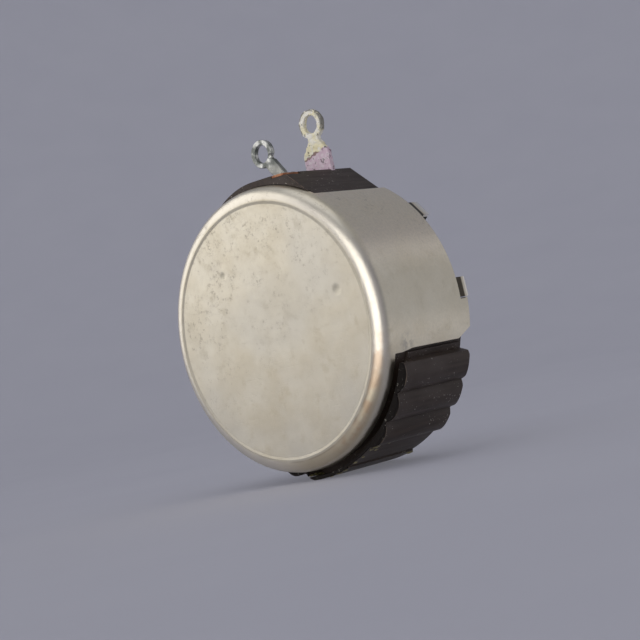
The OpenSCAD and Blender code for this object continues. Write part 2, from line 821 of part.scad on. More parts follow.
module arm_outline() {
    difference() {
        union() {
            circle(boss_d / 2);
            turn(rest_phi) intersection() {
                circle(bore_r - 0.35);
                polygon([[-arm_w[0] / 2, 0], [arm_w[0] / 2, 0],
                         [arm_w[1] / 2, bore_r], [-arm_w[1] / 2, bore_r]]);
            }
        }
        circle(shaft_r + fit);
        pin_places() circle(pin_d / 2 + fit);
        turn(rest_phi) translate([0, former_mid_r]) circle(shoe_pin[0] / 2 + fit);
    }
}

module contact_arm() color([0.80, 0.66, 0.36]) seat()
    translate([0, 0, arm_z]) linear_extrude(arm_t) arm_outline();

module contact_shoe() color([0.35, 0.30, 0.26]) seat() turn(rest_phi) translate([0, former_mid_r, 0]) {
    box_at([shoe_size[1], shoe_size[0], shoe_size[2]], [0, 0, shoe_z]);
    disc(shoe_pin[0] / 2, arm_z - eps, shoe_z + eps);
    disc(shoe_pin[1] / 2, arm_z - pin_head[1], arm_z);
}

module contact_rivets() color([0.78, 0.64, 0.36]) seat() pin_places() {
    front = boss_front_z + spring_t;
    disc(pin_d / 2, arm_z - eps, front + eps);
    disc(pin_head[0] / 2, arm_z - pin_head[1], arm_z);
    disc(pin_head[0] / 2, front, front + pin_head[1]);
}

module finger_section() {
    z0 = boss_front_z;
    z1 = collector_z - touch;
    r0 = boss_d / 2 - 4 * spring_t;
    r1 = (collector_r[0] + collector_r[1]) / 2 - 2 * spring_t;
    tip = r1 + 4.5 * spring_t;
    polygon([[r0, z0], [r0 + 3 * spring_t, z0], [r1, z1 - spring_t], [tip, z1 - spring_t],
             [tip, z1], [r1 - spring_t / 2, z1], [r0 + 2.5 * spring_t, z0 + spring_t], [r0, z0 + spring_t]]);
}

module collector_spring() color([0.76, 0.60, 0.34]) seat() {
    difference() {
        disc(boss_d / 2, boss_front_z, boss_front_z + spring_t);
        disc(shaft_r + fit, back_z, 1);
        pin_places() disc(pin_d / 2 + fit, back_z, 1);
    }
    for (phi = [0, 180]) bar_section(phi, finger_w) finger_section();
}

back_cover();
cover_insulator();
housing();
front_plate();
bushing();
lug_end();
lug_wiper();
terminal_insulator();
terminal_rivets();
resistance_former();
resistance_winding();
end_clip_live();
end_clip_open();
collector_ring();
shaft();
shaft_retaining_ring();
thrust_washer();
rotor_hub();
contact_arm();
contact_shoe();
contact_rivets();
collector_spring();
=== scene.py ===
"""Looks of the wirewound rheostat: camera, stage, light, materials and finer meshes.

Everything is in the row frame: the shaft runs along +Y, the mounting face is at y = 0 and the
lugs point to +Z. The frame and Blender's objects are in metres; the sizes of the materials and
of the pieces made here are in millimetres, and MM turns them into metres.
"""
import math

import bmesh
import bpy
from mathutils import Matrix, Vector, noise


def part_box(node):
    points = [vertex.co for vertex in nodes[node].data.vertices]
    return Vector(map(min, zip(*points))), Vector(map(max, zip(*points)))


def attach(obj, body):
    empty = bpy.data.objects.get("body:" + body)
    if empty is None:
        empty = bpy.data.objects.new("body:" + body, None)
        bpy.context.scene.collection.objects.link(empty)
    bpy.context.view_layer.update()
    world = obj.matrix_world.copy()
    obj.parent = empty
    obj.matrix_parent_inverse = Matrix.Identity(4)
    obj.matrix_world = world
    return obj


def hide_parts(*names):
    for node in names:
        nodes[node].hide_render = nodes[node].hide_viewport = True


MM = 0.001

# ---------------------------------------------------------------- frame
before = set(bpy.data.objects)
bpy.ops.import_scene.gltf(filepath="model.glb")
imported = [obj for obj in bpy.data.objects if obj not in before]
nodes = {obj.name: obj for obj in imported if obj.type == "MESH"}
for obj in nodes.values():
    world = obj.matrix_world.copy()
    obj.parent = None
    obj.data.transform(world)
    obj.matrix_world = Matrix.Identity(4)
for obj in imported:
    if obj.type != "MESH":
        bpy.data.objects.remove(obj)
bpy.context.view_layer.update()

COVER_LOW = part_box("back_cover")[0]
COVER_R = -COVER_LOW.x / MM               # outside of the cover's drawn side
BACK = COVER_LOW.y / MM                   # crest of the cover's back
FLOOR_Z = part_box("housing")[0].z          # metres


# ---------------------------------------------------------------- camera
VIEW_AZIMUTH = math.radians(42.67)        # from -Y towards +X
VIEW_ELEVATION = math.radians(-1.61)
VIEW_ROLL = math.radians(-11.47)
VIEW_DISTANCE = 238.67 * MM
VIEW_AIM = Vector((0.16, -10.17, 0.45)) * MM
SENSOR_WIDTH = 36
FOCAL_LENGTH = 90


def direction(azimuth, elevation):
    """Unit vector from the object towards a viewer or a light."""
    flat = math.cos(elevation)
    return Vector((math.sin(azimuth) * flat, -math.cos(azimuth) * flat, math.sin(elevation)))


def make_camera():
    data = bpy.data.cameras.new("camera")
    data.sensor_width = SENSOR_WIDTH
    data.lens = FOCAL_LENGTH
    data.clip_start = 0.01
    data.clip_end = 20
    camera = bpy.data.objects.new("camera", data)
    bpy.context.scene.collection.objects.link(camera)
    back = direction(VIEW_AZIMUTH, VIEW_ELEVATION)
    turn = back.to_track_quat("Z", "Y").to_matrix().to_4x4()
    roll = Matrix.Rotation(VIEW_ROLL, 4, "Z")
    camera.matrix_world = Matrix.Translation(VIEW_AIM + back * VIEW_DISTANCE) @ turn @ roll
    bpy.context.scene.camera = camera


# ---------------------------------------------------------------- materials
class Surface:
    """A Principled material under construction. Texture sizes and places are in millimetres."""

    def __init__(self, name, metallic=0.0, roughness=0.5, **constants):
        self.material = bpy.data.materials.new(name)
        self.material.use_nodes = True
        self.tree = self.material.node_tree
        self.shader = self.tree.nodes["Principled BSDF"]
        self.shader.inputs["Metallic"].default_value = metallic
        self.shader.inputs["Roughness"].default_value = roughness
        for socket, value in constants.items():
            self.shader.inputs[socket.replace("_", " ")].default_value = value
        self.point = self.add("ShaderNodeTexCoord").outputs["Object"]
        self.normal = None

    def add(self, kind, settings=None, **inputs):
        node = self.tree.nodes.new(kind)
        for key, value in (settings or {}).items():
            setattr(node, key, value)
        for key, value in inputs.items():
            self.put(node.inputs[key], value)
        return node

    def put(self, socket, value):
        if isinstance(value, bpy.types.NodeSocket):
            self.tree.links.new(value, socket)
        else:
            socket.default_value = value

    def math(self, operation, *values):
        node = self.add("ShaderNodeMath", {"operation": operation})
        for socket, value in zip(node.inputs, values):
            self.put(socket, value)
        return node.outputs[0]

    def plus(self, a, b):
        return self.math("ADD", a, b)

    def minus(self, a, b):
        return self.math("SUBTRACT", a, b)

    def times(self, *values):
        product = values[0]
        for value in values[1:]:
            product = self.math("MULTIPLY", product, value)
        return product

    def length(self, a, b):
        """Length of the vector (a, b)."""
        return self.math("SQRT", self.plus(self.times(a, a), self.times(b, b)))

    def noise(self, size, detail=2.0, stretch=(1, 1, 1), turn=(0, 0, 0), shift=(0, 0, 0),
              rough=0.5):
        """Smooth noise with features of the given size; stretch multiplies it axis by axis."""
        place = self.add("ShaderNodeMapping")
        place.inputs["Rotation"].default_value = turn
        place.inputs["Location"].default_value = shift
        place.inputs["Scale"].default_value = [1 / (MM * size * s) for s in stretch]
        self.put(place.inputs["Vector"], self.point)
        node = self.add("ShaderNodeTexNoise", Detail=detail, Roughness=rough, Scale=1.0)
        self.put(node.inputs["Vector"], place.outputs[0])
        return node.outputs["Fac"]

    def step(self, value, low, high):
        """0 below low, 1 above high; falls instead of rising when low is above high."""
        node = self.add("ShaderNodeMapRange", {"clamp": True, "interpolation_type": "SMOOTHSTEP"})
        falls = low > high
        for key, number in (("From Min", min(low, high)), ("From Max", max(low, high)),
                            ("To Min", 1.0 if falls else 0.0), ("To Max", 0.0 if falls else 1.0)):
            node.inputs[key].default_value = number
        self.put(node.inputs["Value"], value)
        return node.outputs["Result"]

    def between(self, value, low, rise, fall, high):
        """1 from rise to fall, 0 below low and above high."""
        return self.times(self.step(value, low, rise), self.step(value, high, fall))

    def axis(self, name):
        """Coordinate along X, Y or Z."""
        parts = self.add("ShaderNodeSeparateXYZ")
        self.put(parts.inputs[0], self.point)
        return self.times(parts.outputs[name], 1 / MM)

    def radius(self):
        """Distance from the shaft's axis."""
        return self.length(self.axis("X"), self.axis("Z"))

    def near(self, place, reach):
        """1 at a place, falling to 0 at that reach."""
        offset = self.add("ShaderNodeVectorMath", {"operation": "DISTANCE"})
        self.put(offset.inputs[0], self.point)
        offset.inputs[1].default_value = [c * MM for c in place]
        return self.step(offset.outputs["Value"], reach * MM, 0.0)

    def blend(self, factor, low, high):
        node = self.add("ShaderNodeMix", {"data_type": "RGBA"})
        self.put(node.inputs[0], factor)
        for socket, value in ((node.inputs[6], low), (node.inputs[7], high)):
            self.put(socket, value if isinstance(value, bpy.types.NodeSocket) else (*value, 1.0))
        return node.outputs[2]

    def tint(self, colour, tone, strength, *masks):
        """Draws a colour towards a tone, by that strength where all the masks are 1."""
        return self.blend(self.times(*masks, strength), colour, tone)

    def bump(self, height, distance):
        """Adds relief: distance is the height of a full step."""
        node = self.add("ShaderNodeBump", Height=height, Distance=distance * MM, Strength=1.0)
        if self.normal is not None:
            self.put(node.inputs["Normal"], self.normal)
        self.normal = node.outputs["Normal"]

    def finish(self, colour, roughness=None):
        self.put(self.shader.inputs["Base Color"], colour)
        if roughness is not None:
            self.put(self.shader.inputs["Roughness"], roughness)
        if self.normal is not None:
            self.put(self.shader.inputs["Normal"], self.normal)
        return self.material


SHOULDER_R = COVER_R - 2.1                # where the cover's back ends and its shoulder begins
PANEL_FOOT = (20.3, BACK + 5.2, -5.5)     # the foot of the +X side panel
DENTS = [((-7.7, BACK + 0.1, 9.6), 0.75, 0.5),       # place, reach and tarnish
         ((13.9, BACK + 0.1, 3.75), 1.0, 0.4)]
EAR_ROOT = -2.6                           # y of the side panels' front edge
EAR_SHADE_END = -1.25                          # y where the painted shade at an ear's root ends
EARS_FROM = -0.9                          # lowest z that is marked as an ear


def cover_side(s, colour, radius, z):
    """The drawn side has painted shade near the middle, duller and greener than the back, and a
    painted warm highlight above.
    """
    side = s.step(radius, COVER_R - 0.5, COVER_R - 0.1)
    # painted shade: a duller, greener band across the middle of the side
    colour = s.tint(colour, (0.50, 0.48, 0.40), 0.5, side, s.between(z, -4.5, -0.5, 3.0, 7.5))
    # painted highlight: the upper part of the side made lighter and warm
    colour = s.tint(colour, (0.92, 0.83, 0.66), 0.75, side, s.step(z, 5.0, 9.0))
    grain = s.step(s.noise(0.35, 3, shift=(2, 7, 2), rough=0.7), 0.38, 0.62)
    return s.tint(colour, (0.48, 0.46, 0.38), 0.16, side, grain)


def cover_shoulder(s, colour, radius, x, y, z):
    """The shoulder is lightened all round as a painted highlight, and made browner with dark
    stripes round it at the lower +X as a painted reflection.
    """
    shoulder = s.between(radius, SHOULDER_R, SHOULDER_R + 0.4, COVER_R - 0.5, COVER_R - 0.1)
    # painted highlight: the whole shoulder lightened so that the rim's highlight looks whiter
    colour = s.tint(colour, (0.90, 0.84, 0.73), 0.6, shoulder)
    low = s.times(shoulder, s.step(z, -5.0, -12.0), s.step(x, -6.0, 3.0))
    # painted reflection: the lower +X shoulder made browner, with dark stripes added below
    colour = s.tint(colour, (0.56, 0.48, 0.33), 0.8, low)
    waves = s.math("SINE", s.times(s.minus(radius, y), 7.0))
    patchy = s.step(s.noise(3, 3), 0.3, 0.6)
    return s.tint(colour, (0.36, 0.29, 0.20), 0.6, low, s.step(waves, 0.3, 0.9), patchy)


def cover_crease(s, colour, radius, x, y, z):
    """The crease round the back is darkened as painted shade, and the shoulder is tinged brown
    below the panel.
    """
    crease = s.times(s.between(radius, SHOULDER_R - 0.6, SHOULDER_R - 0.4,
                               SHOULDER_R - 0.02, SHOULDER_R + 0.08),
                     s.step(y, BACK + 0.3, BACK + 0.2))
    # painted shade: the crease round the back darkened
    colour = s.tint(colour, (0.34, 0.31, 0.25), 0.4, crease)
    tinge = s.times(s.between(radius, SHOULDER_R, SHOULDER_R + 0.5, COVER_R - 0.8, COVER_R - 0.3),
                    s.step(y, BACK + 1.6, BACK + 1.0), s.step(x, 6.0, 11.0),
                    s.step(z, -2.0, -5.0), s.step(s.noise(2.2, 3, shift=(2, 2, 8)), 0.38, 0.6))
    return s.tint(colour, (0.50, 0.33, 0.20), 0.6, tinge)


def cover_ears(s, colour, y, z):
    """Painted shade at the roots of the ears, less of it on the upper two, and painted highlights
    on the bends.
    """
    ear = s.step(z, EARS_FROM, EARS_FROM + 0.2)
    along = s.plus(y, s.times(s.step(z, 4.0, 6.0), 0.5))
    # painted shade: a near-black band at each ear's root, next to the panel's edge
    root_shade = s.times(ear, s.step(y, EAR_ROOT - 0.06, EAR_ROOT + 0.08),
                   s.step(along, EAR_SHADE_END, EAR_SHADE_END - 0.35))
    colour = s.blend(root_shade, colour, (0.07, 0.06, 0.045))
    # painted highlight: the ears' outer bends made bright
    bend_highlight = s.times(ear, s.step(along, EAR_SHADE_END + 0.15, EAR_SHADE_END + 0.45))
    return s.blend(bend_highlight, colour, (0.90, 0.87, 0.79))


def nickel_cover():
    """Dull nickel plate, stained yellow in places, pitted and scratched, with painted shade and
    painted highlights on its side, shoulder, crease and ears.
    """
    s = Surface("nickel_cover", metallic=1.0)
    x, y, z = s.axis("X"), s.axis("Y"), s.axis("Z")
    radius = s.radius()
    mottle = s.step(s.noise(7, 4, rough=0.6), 0.35, 0.68)
    colour = s.blend(mottle, (0.78, 0.72, 0.58), (0.71, 0.64, 0.49))
    stain = s.step(s.noise(2.6, 5, shift=(3, 1, 7), rough=0.65), 0.52, 0.72)
    colour = s.tint(colour, (0.60, 0.53, 0.38), 0.55, stain)
    cloud = s.step(s.noise(15, 2, shift=(9, 2, 4)), 0.45, 0.7)
    colour = s.tint(colour, (0.66, 0.63, 0.55), 0.4, cloud)
    colour = cover_side(s, colour, radius, z)
    colour = cover_shoulder(s, colour, radius, x, y, z)
    # fine dark pits, most of them on the upper half of the back, towards -X
    upper = s.step(s.plus(z, s.times(x, -0.6)), -9.0, 9.0)
    specks = s.step(s.noise(0.75, 5, shift=(1, 5, 2), rough=0.85), 0.54, 0.66)
    patches = s.step(s.noise(4, 2, shift=(5, 5, 5)), 0.38, 0.60)
    pits = s.times(specks, patches, s.plus(s.times(upper, 0.7), 0.15))
    colour = s.tint(colour, (0.30, 0.25, 0.17), 0.6, pits)
    colour = cover_crease(s, colour, radius, x, y, z)
    for place, reach, tarnish in DENTS:
        dent = s.near(place, reach)
        colour = s.tint(colour, (0.30, 0.28, 0.21), tarnish, dent)
        s.bump(dent, -0.05)
    # grey smudges by the foot of the side panel
    smudge = s.times(s.near(PANEL_FOOT, 2.2), s.step(s.noise(0.9, 3), 0.4, 0.6))
    colour = s.tint(colour, (0.30, 0.29, 0.27), 0.6, smudge)
    colour = cover_ears(s, colour, y, z)
    # scratches in two directions, fine grain and a slightly uneven sheet
    scratch = s.noise(1.0, 1, stretch=(0.12, 1, 9), turn=(0, 0.6, 0))
    hairline = s.noise(1.0, 1, stretch=(8, 1, 0.1), turn=(0, 0.9, 0), shift=(4, 4, 4))
    s.bump(s.step(scratch, 0.66, 0.72), -0.004)
    s.bump(s.step(hairline, 0.68, 0.73), -0.004)
    s.bump(s.noise(0.22, 3), 0.004)
    s.bump(s.noise(3.5, 2), 0.03)
    s.bump(pits, -0.012)
    satin = s.plus(0.27, s.times(s.noise(1.4, 4), 0.14))
    return s.finish(colour, s.plus(satin, s.times(stain, 0.08)))


RIB_BACK = BACK + 2.9                     # where the chamfer at the ribs' back ends stops
RIBS_BELOW = 2.0                          # a height between the ribs and the terminal block
BLOCK_BACK = BACK + 2.2                   # back edge of the terminal block


def phenolic():
    """Dark brown moulding with flow lines along the ribs, painted highlights on some edges,
    painted shade on the ribs' back ends and a few light specks.
    """
    s = Surface("phenolic")
    x, y, z = s.axis("X"), s.axis("Y"), s.axis("Z")
    radius = s.radius()
    flow = s.noise(0.8, 3, stretch=(0.7, 9, 0.7))
    colour = s.blend(s.step(flow, 0.3, 0.7), (0.040, 0.026, 0.018), (0.026, 0.017, 0.012))
    colour = s.blend(s.step(s.noise(6, 3), 0.4, 0.7), colour, (0.046, 0.033, 0.026))
    # the back ends of the ribs are painted dark as shade and are dull, with a painted highlight
    # along a thin pale edge, broken up in places
    ribs = s.step(z, RIBS_BELOW, RIBS_BELOW - 1.0)
    rib_end = s.times(s.step(y, RIB_BACK, RIB_BACK - 0.1), ribs)
    # painted shade: the ribs' back ends made near black
    colour = s.blend(rib_end, colour, (0.012, 0.010, 0.009))
    edge_breaks = s.step(s.noise(2.2, 3, shift=(2, 0, 1)), 0.40, 0.56)
    rib_edge = s.times(s.between(y, RIB_BACK - 0.1, RIB_BACK - 0.02,
                                 RIB_BACK + 0.08, RIB_BACK + 0.15),
                       s.step(radius, COVER_R + 1.1, COVER_R + 1.3), ribs, edge_breaks)
    # painted highlight: a pale line along the edge of the ribs' back ends
    colour = s.tint(colour, (0.16, 0.12, 0.085), 0.6, rib_edge)
    # painted highlight: a light brown line along the back edge of the terminal block at its +X
    # end
    block_edge = s.times(s.between(y, BLOCK_BACK + 0.005, BLOCK_BACK + 0.015,
                                   BLOCK_BACK + 0.1, BLOCK_BACK + 0.18),
                         s.step(z, 17.0, 18.0), s.step(x, 5.8, 6.2),
                         s.step(s.noise(0.5, 3), 0.42, 0.5))
    colour = s.tint(colour, (0.30, 0.19, 0.12), 0.75, block_edge)
    fleck = s.times(s.step(s.noise(0.30, 2, shift=(7, 3, 1)), 0.66, 0.71),
                    s.step(s.noise(3, 2), 0.46, 0.58))
    colour = s.blend(fleck, colour, (0.30, 0.28, 0.24))
    s.bump(flow, 0.012)
    s.bump(s.noise(0.3, 3), 0.006)
    s.put(s.shader.inputs["Specular IOR Level"], s.minus(0.38, s.times(rib_end, 0.28)))
    return s.finish(colour, s.plus(s.times(rib_end, 0.35), s.plus(0.40, s.times(flow, 0.22))))


LUG_LOW, LUG_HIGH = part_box("lug_end")
LUG_X = (LUG_LOW.x + LUG_HIGH.x) / 2 / MM
LUG_TOP = LUG_HIGH.z / MM
EYE_R = 2.2                               # outside radius of a lug's eye
LACQUER_TOP = 24.85                       # height of the lacquer's edge at the lug's middle
LACQUER_SLOPE = 0.28                      # the edge climbs towards +X


def lug_lacquer(s, x):
    """Old pink lacquer with dark stains on its +X side."""
    pink = s.blend(s.step(s.noise(0.5, 4, shift=(1, 1, 1)), 0.42, 0.66),
                   (0.62, 0.46, 0.54), (0.70, 0.60, 0.64))
    stains = s.times(s.step(s.noise(0.55, 4, shift=(6, 1, 3), rough=0.7), 0.55, 0.66),
                     s.step(x, 4.4, 6.2))
    return s.blend(stains, pink, (0.20, 0.11, 0.15))


def lug_cream(s, z):
    """Cream crust, yellow on the neck."""
    crust = s.blend(s.step(s.noise(1.2, 4), 0.4, 0.62), (0.80, 0.77, 0.68), (0.78, 0.72, 0.50))
    pale = s.step(s.noise(0.45, 4, shift=(4, 4, 4)), 0.58, 0.66)
    crust = s.blend(pale, crust, (0.80, 0.78, 0.74))
    yellow = s.times(s.step(z, 26.9, 25.6), s.step(s.noise(0.9, 3, shift=(5, 8, 1)), 0.36, 0.56))
    return s.tint(crust, (0.76, 0.68, 0.40), 0.7, yellow)


def lug_crust():
    """Tinned lug with a cream crust on the eye and the neck, and old lacquer on the base."""
    s = Surface("lug_crust")
    x, z = s.axis("X"), s.axis("Z")
    ragged = s.minus(s.noise(0.7, 3), 0.5)
    height = s.minus(s.plus(z, ragged), s.times(s.minus(x, LUG_X), LACQUER_SLOPE))
    lacquer = s.step(height, LACQUER_TOP + 0.1, LACQUER_TOP - 0.1)
    colour = s.blend(lacquer, lug_cream(s, z), lug_lacquer(s, x))
    line = s.times(s.between(height, LACQUER_TOP - 0.2, LACQUER_TOP - 0.05,
                             LACQUER_TOP + 0.1, LACQUER_TOP + 0.25), s.step(x, 5.0, 4.3))
    colour = s.tint(colour, (0.20, 0.10, 0.10), 0.85, line)
    specks = s.step(s.noise(0.55, 3, shift=(8, 2, 5), rough=0.65), 0.60, 0.66)
    colour = s.tint(colour, (0.09, 0.085, 0.07), 0.9, specks)
    # painted shade: a dark rim round the outside of the eye, where the lug's thickness is in
    # shadow
    off = s.length(s.minus(x, LUG_X), s.minus(z, LUG_TOP - EYE_R))
    edge = s.times(s.step(off, EYE_R - 0.32, EYE_R - 0.12),
                   s.step(z, LUG_TOP - 3.6, LUG_TOP - 3.2),
                   s.step(s.noise(0.8, 3, shift=(3, 9, 3)), 0.36, 0.48))
    colour = s.tint(colour, (0.13, 0.125, 0.11), 0.85, edge)
    s.bump(s.noise(0.35, 4), 0.05)
    s.bump(s.noise(0.12, 3), 0.02)
    return s.finish(colour, s.plus(0.42, s.times(s.noise(0.6, 3), 0.3)))


def tinned():
    """Solder-dipped metal, bright with grey tarnish; the stem is duller than the eye."""
    s = Surface("tinned", metallic=1.0)
    tarnish = s.step(s.noise(1.3, 4), 0.36, 0.58)
    colour = s.blend(tarnish, (0.62, 0.62, 0.58), (0.20, 0.21, 0.19))
    colour = s.blend(s.step(s.axis("Z"), 25.6, 24.8), colour, (0.32, 0.32, 0.29))
    s.bump(s.noise(0.5, 3), 0.03)
    s.bump(s.noise(0.12, 3), 0.006)
    return s.finish(colour, s.plus(0.24, s.times(tarnish, 0.2)))


def fibre():
    """Vulcanised fibre: orange brown with a coarse grain."""
    s = Surface("fibre", roughness=0.7)
    grain = s.noise(0.35, 4, stretch=(1, 6, 1))
    colour = s.blend(s.step(grain, 0.35, 0.65), (0.34, 0.13, 0.055), (0.20, 0.085, 0.04))
    pale = s.step(s.noise(1.1, 3, shift=(2, 2, 2)), 0.5, 0.62)
    colour = s.blend(pale, colour, (0.44, 0.20, 0.10))
    s.bump(grain, 0.03)
    return s.finish(colour)


def turned_metal(name, colour, dark, roughness):
    """Turned metal with fine rings round the shaft and light tarnish."""
    s = Surface(name, metallic=1.0)
    rings = s.noise(0.08, 2, stretch=(60, 1, 60))
    tone = s.blend(s.step(s.noise(2.2, 4), 0.42, 0.7), colour, dark)
    s.bump(rings, 0.006)
    s.bump(s.noise(0.4, 3), 0.006)
    return s.finish(tone, s.plus(roughness, s.times(rings, 0.15)))


def sheet_metal(name, colour, dark, roughness):
    """Rolled strip: faint straight grain, tarnish and small scratches."""
    s = Surface(name, metallic=1.0)
    grain = s.noise(0.15, 2, stretch=(1, 1, 25))
    tone = s.blend(s.step(s.noise(2.0, 4), 0.42, 0.68), colour, dark)
    scratch = s.step(s.noise(0.8, 1, stretch=(0.12, 1, 6), turn=(0, 0.5, 0)), 0.66, 0.72)
    s.bump(grain, 0.004)
    s.bump(scratch, -0.006)
    return s.finish(tone, s.plus(roughness, s.times(grain, 0.15)))


def laminate(name, colour, dark):
    """Paper laminate, fibre sheet or insulating paper, with a fibrous grain."""
    s = Surface(name, roughness=0.65)
    grain = s.noise(0.3, 4, stretch=(1, 5, 1))
    tone = s.blend(s.step(grain, 0.35, 0.68), colour, dark)
    s.bump(grain, 0.02)
    return s.finish(tone)


RUBBED_TO = BACK + 4.1                    # y up to which the shoe has rubbed the winding bright


def resistance_wire():
    """Oxidised wire, shinier where the contact has rubbed."""
    s = Surface("resistance_wire", metallic=1.0)
    rubbed = s.step(s.axis("Y"), RUBBED_TO + 0.4, RUBBED_TO)
    oxide = s.step(s.noise(0.8, 3), 0.4, 0.7)
    colour = s.blend(oxide, (0.34, 0.31, 0.27), (0.24, 0.21, 0.18))
    colour = s.blend(rubbed, colour, (0.62, 0.58, 0.50))
    s.bump(s.noise(0.2, 3), 0.01)
    return s.finish(colour, s.minus(0.5, s.times(rubbed, 0.2)))


def resin():
    """Hardened yellow-green resin flash."""
    s = Surface("resin", roughness=0.35, Transmission_Weight=0.15)
    cloudy = s.step(s.noise(0.4, 3), 0.4, 0.65)
    s.bump(s.noise(0.15, 3), 0.02)
    return s.finish(s.blend(cloudy, (0.26, 0.23, 0.10), (0.12, 0.10, 0.05)))


def paper_floor():
    """Plain pale grey paper."""
    s = Surface("paper_floor", roughness=0.9)
    s.bump(s.noise(0.6, 3), 0.01)
    return s.finish(s.blend(s.noise(30, 3), (0.43, 0.43, 0.49), (0.46, 0.46, 0.515)))


def dress(obj, material):
    obj.data.materials.clear()
    obj.data.materials.append(material)


# ---------------------------------------------------------------- pieces
def new_piece(name, mesh, material, body="stator"):
    obj = bpy.data.objects.new(name, mesh)
    bpy.context.scene.collection.objects.link(obj)
    dress(obj, material)
    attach(obj, body)
    return obj


def mesh_from(shape, name):
    """Turns a bmesh into a mesh, smooth all over, and frees it."""
    mesh = bpy.data.meshes.new(name)
    shape.to_mesh(mesh)
    shape.free()
    shade_smooth(mesh)
    return mesh


def shade_smooth(mesh, angle=math.pi):
    for polygon in mesh.polygons:
        polygon.use_smooth = True
    mesh.set_sharp_from_angle(angle=angle)


def voxel_copy(node, voxel, smooth_turns):
    """Mesh of a CAD node remade from small even faces, with its edges slightly rounded."""
    source = bpy.data.objects.new("remesh_source", nodes[node].data.copy())
    bpy.context.scene.collection.objects.link(source)
    remesh = source.modifiers.new("remesh", "REMESH")
    remesh.mode = "VOXEL"
    remesh.voxel_size = voxel * MM
    soften = source.modifiers.new("soften", "SMOOTH")
    soften.factor = 0.5
    soften.iterations = smooth_turns
    graph = bpy.context.evaluated_depsgraph_get()
    mesh = bpy.data.meshes.new_from_object(source.evaluated_get(graph))
    bpy.data.objects.remove(source)
    mesh.materials.clear()
    return mesh


def push_out(mesh, amount):
    """Moves each vertex along its normal by amount(place)."""
    normals = [vertex.normal.copy() for vertex in mesh.vertices]
    for vertex, normal in zip(mesh.vertices, normals):
        vertex.co += normal * amount(vertex.co / MM) * MM


CRUST_FROM, CRUST_FULL = 24.6, 25.1       # heights where the end lug's crust starts and is full


def make_end_lug(material):
    """The end lug with its crust: lumpy on the eye and the neck, a film on the base."""
    mesh = voxel_copy("lug_end", voxel=0.07, smooth_turns=4)

    def lumps(p):
        crusted = min(max((p.z - CRUST_FROM) / (CRUST_FULL - CRUST_FROM), 0.0), 1.0)
        film = noise.noise(p * 1.6) * 0.03
        return film + crusted * (0.02 + 0.09 * noise.noise(p * 1.9) + 0.04 * noise.noise(p * 5.0))

    push_out(mesh, lumps)
    shade_smooth(mesh)
    obj = new_piece("end_lug_crusted", mesh, material)
    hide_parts("lug_end")


NICK_X, NICK_Z = -5.1, 26.6               # the nick in the side of the wiper lug's eye
NICK_R, NICK_DEPTH = 0.55, 0.28


def make_wiper_lug(material):
    """The wiper lug, solder-dipped, with a nick in the side of its eye."""
    mesh = voxel_copy("lug_wiper", voxel=0.07, smooth_turns=5)

    def melt(p):
        off = math.hypot(p.x - NICK_X, p.z - NICK_Z)
        return 0.035 * noise.noise(p * 1.3) - NICK_DEPTH * max(1 - off / NICK_R, 0.0)

    push_out(mesh, melt)
    shade_smooth(mesh)
    obj = new_piece("wiper_lug_tinned", mesh, material)
    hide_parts("lug_wiper")


def make_fibre(material):
    """The fibre slip with its ragged edges."""
    mesh = voxel_copy("terminal_insulator", voxel=0.06, smooth_turns=3)
    push_out(mesh, lambda p: 0.05 * noise.noise(p * 2.5) - 0.02)
    shade_smooth(mesh)
    obj = new_piece("fibre_plate_ragged", mesh, material)
    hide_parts("terminal_insulator")


THREAD_PITCH = 25.4 / 32                  # a 3/8-32 thread
THREAD_DEPTH = 0.42
ROOT_END, CREST_START = 0.16, 0.8         # from a groove's middle, as shares of half a pitch
THREAD_STEPS = 10                         # rows of vertices to a pitch
THREAD_SIDES = 120
THREAD_RUN_IN = 0.5                       # length over which the thread reaches its depth
MAJOR_R = 9.525 / 2
NECK_R = 9.1 / 2
BORE_R = 3.205
TIP_CHAMFER = 0.6
RIM_T = 0.8                               # thickness of the staked rim


def thread_radius(y, turned, tip):
    """Outside of the thread at a height and a share of a turn, with the chamfer at the tip."""
    phase = (y / THREAD_PITCH - turned) % 1.0
    off = abs(2 * phase - 1)
    groove = min(max((CREST_START - off) / (CREST_START - ROOT_END), 0.0), 1.0)
    cut = MAJOR_R - THREAD_DEPTH * groove * min(y / THREAD_RUN_IN, 1.0)
    return min(cut, MAJOR_R - TIP_CHAMFER + max(tip - y, 0.0))


